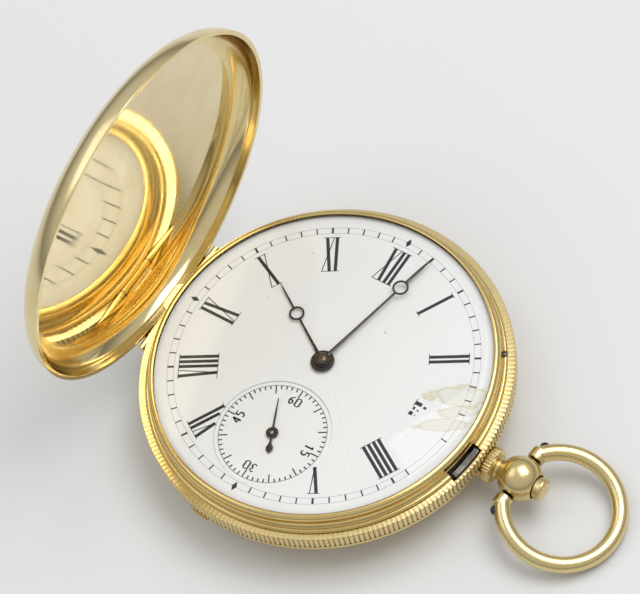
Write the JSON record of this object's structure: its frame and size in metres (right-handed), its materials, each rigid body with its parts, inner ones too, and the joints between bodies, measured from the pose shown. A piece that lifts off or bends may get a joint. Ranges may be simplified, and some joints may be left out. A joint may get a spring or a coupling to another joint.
{
  "type": "pocket watch",
  "caption": "Hunter pocket watch: sprung front cover over a white enamel dial with a seconds sub-dial, reeded case, ball pendant with push piece, swivel bow, and a bar movement inside.",
  "frame": {"origin": "centre of the back cover's outer flat, on the dial's axis", "axes": "+Z out of the dial, +X towards 3 o'clock and the pendant, +Y towards 12 o'clock"},
  "size_m": [0.0665, 0.0459, 0.0515],
  "materials": {
    "gold": "polished",
    "gilt_brass": "gilt, grained",
    "steel": "polished",
    "blued_steel": "dark blued",
    "enamel": "glossy white enamel",
    "crystal": "clear",
    "ruby": "polished",
    "brass": "polished"
  },
  "bodies": {
    "case": {"mid_case": "gold", "bezel": "gold", "pendant": "gold", "crystal": "crystal", "dial": "enamel", "seconds_dial": "enamel", "bow_screws": "blued_steel", "bezel_pin": "blued_steel", "bridge_screws": "blued_steel", "click_screw": "blued_steel", "hairspring": "blued_steel", "front_hinge_pin": "steel", "back_hinge_pin": "steel", "cuvette_hinge_pin": "steel", "fly_spring": "steel", "lock_spring_screw": "steel", "fly_spring_screw": "steel", "click_spring": "steel", "endstone_cap": "steel", "main_plate": "gilt_brass", "barrel_bridge": "gilt_brass", "centre_bridge": "gilt_brass", "third_bridge": "gilt_brass", "fourth_bridge": "gilt_brass", "escape_cock": "gilt_brass", "lever_cock": "gilt_brass", "balance_cock": "gilt_brass", "jewels": "ruby"},
    "front_cover": {"front_cover": "gold"},
    "back_cover": {"back_cover": "gold"},
    "cuvette": {"cuvette": "gold"},
    "bow": {"bow": "gold"},
    "push_piece": {"push_piece": "gold"},
    "lock_spring": {"lock_spring": "steel"},
    "centre": {"centre_pinion": "steel", "centre_wheel": "brass", "cannon_pinion": "steel", "minute_hand": "blued_steel"},
    "barrel": {"barrel": "gilt_brass", "barrel_cover": "gilt_brass", "mainspring": "steel"},
    "third": {"third_wheel": "brass", "third_pinion": "steel"},
    "fourth": {"fourth_wheel": "brass", "fourth_pinion": "steel", "seconds_hand": "blued_steel"},
    "escape": {"escape_wheel": "steel", "escape_pinion": "steel"},
    "minute_work": {"minute_wheel": "brass"},
    "hour": {"hour_wheel": "brass", "hour_hand": "blued_steel"},
    "lever": {"lever": "steel", "pallet_stones": "ruby"},
    "balance": {"balance_wheel": "brass", "balance_staff": "steel", "roller": "steel"},
    "winding": {"barrel_arbor": "steel", "ratchet_wheel": "steel"},
    "click": {"click": "steel"},
    "regulator": {"regulator": "steel"}
  },
  "joints": [
    {"name": "front_cover_hinge", "type": "hinge", "parent": "case", "child": "front_cover", "pos_m": [-0.02195, 0, 0.007], "axis": [0, -1, 0], "range_deg": [-84.3, 0], "stiffness_Nm_per_rad": 0.0015, "springref_deg": 34.38},
    {"name": "back_cover_hinge", "type": "hinge", "parent": "case", "child": "back_cover", "pos_m": [0, 0.022, 0.0053], "axis": [1, 0, 0], "range_deg": [0, 90]},
    {"name": "cuvette_hinge", "type": "hinge", "parent": "case", "child": "cuvette", "pos_m": [0, 0.0199, 0.0027], "axis": [1, 0, 0], "range_deg": [0, 72]},
    {"name": "bow_pivot", "type": "hinge", "parent": "case", "child": "bow", "pos_m": [0.0272, 0, 0.0043], "axis": [0.0698, 0.9976, 0], "range_deg": [-104, 75]},
    {"name": "push_slide", "type": "slide", "parent": "case", "child": "push_piece", "axis": [-1, 0, 0], "range_m": [0, 0.0004], "stiffness_N_per_m": 400},
    {"name": "lock_spring_flex", "type": "hinge", "parent": "case", "child": "lock_spring", "pos_m": [0.01638, 0.01164, 0.005], "axis": [0, 0, 1], "range_deg": [-1.6, 0]},
    {"name": "centre_spin", "type": "hinge", "parent": "case", "child": "centre", "pos_m": [0, 0, 0.0055], "axis": [0, 0, -1], "continuous": true},
    {"name": "barrel_spin", "type": "hinge", "parent": "case", "child": "barrel", "pos_m": [-0.00156, 0.00886, 0.0055], "axis": [0, 0, -1], "continuous": true},
    {"name": "third_spin", "type": "hinge", "parent": "case", "child": "third", "pos_m": [-0.00456, -0.00614, 0.0055], "axis": [0, 0, -1], "continuous": true},
    {"name": "fourth_spin", "type": "hinge", "parent": "case", "child": "fourth", "pos_m": [0, -0.0109, 0.0055], "axis": [0, 0, -1], "continuous": true},
    {"name": "escape_spin", "type": "hinge", "parent": "case", "child": "escape", "pos_m": [0.00493, -0.01003, 0.0055], "axis": [0, 0, -1], "continuous": true},
    {"name": "minute_wheel_spin", "type": "hinge", "parent": "case", "child": "minute_work", "pos_m": [0.00183, 0.00344, 0.008], "axis": [0, 0, -1], "continuous": true},
    {"name": "hour_spin", "type": "hinge", "parent": "case", "child": "hour", "pos_m": [0, 0, 0.0085], "axis": [0, 0, -1], "continuous": true},
    {"name": "lever_swing", "type": "hinge", "parent": "case", "child": "lever", "pos_m": [0.00746, -0.00702, 0.0055], "axis": [0, 0, -1], "range_deg": [-5, 5]},
    {"name": "balance_swing", "type": "hinge", "parent": "case", "child": "balance", "pos_m": [0.01041, -0.0035, 0.0055], "axis": [0, 0, -1], "range_deg": [-220, 220], "stiffness_Nm_per_rad": 0.000005},
    {"name": "winding", "type": "hinge", "parent": "case", "child": "winding", "pos_m": [-0.00156, 0.00886, 0.0024], "axis": [0, 0, -1], "range_deg": [0, 1800]},
    {"name": "click_pivot", "type": "hinge", "parent": "case", "child": "click", "pos_m": [-0.00496, 0.00728, 0.0024], "axis": [0, 0, -1], "range_deg": [0, 6], "stiffness_Nm_per_rad": 0.00002},
    {"name": "regulator_turn", "type": "hinge", "parent": "case", "child": "regulator", "pos_m": [0.01041, -0.0035, 0.0023], "axis": [0, 0, -1], "range_deg": [-12, 12]}
  ],
  "couplings": [
    {"joint": "cuvette_hinge", "follows": "back_cover_hinge", "ratio": 0.8},
    {"joint": "lock_spring_flex", "follows": "push_slide", "rad_per_m": -69.8},
    {"joint": "barrel_spin", "follows": "centre_spin", "ratio": -0.125},
    {"joint": "third_spin", "follows": "centre_spin", "ratio": -8},
    {"joint": "fourth_spin", "follows": "centre_spin", "ratio": 60},
    {"joint": "escape_spin", "follows": "centre_spin", "ratio": -600},
    {"joint": "minute_wheel_spin", "follows": "centre_spin", "ratio": -0.33333},
    {"joint": "hour_spin", "follows": "centre_spin", "ratio": 0.083333}
  ]
}
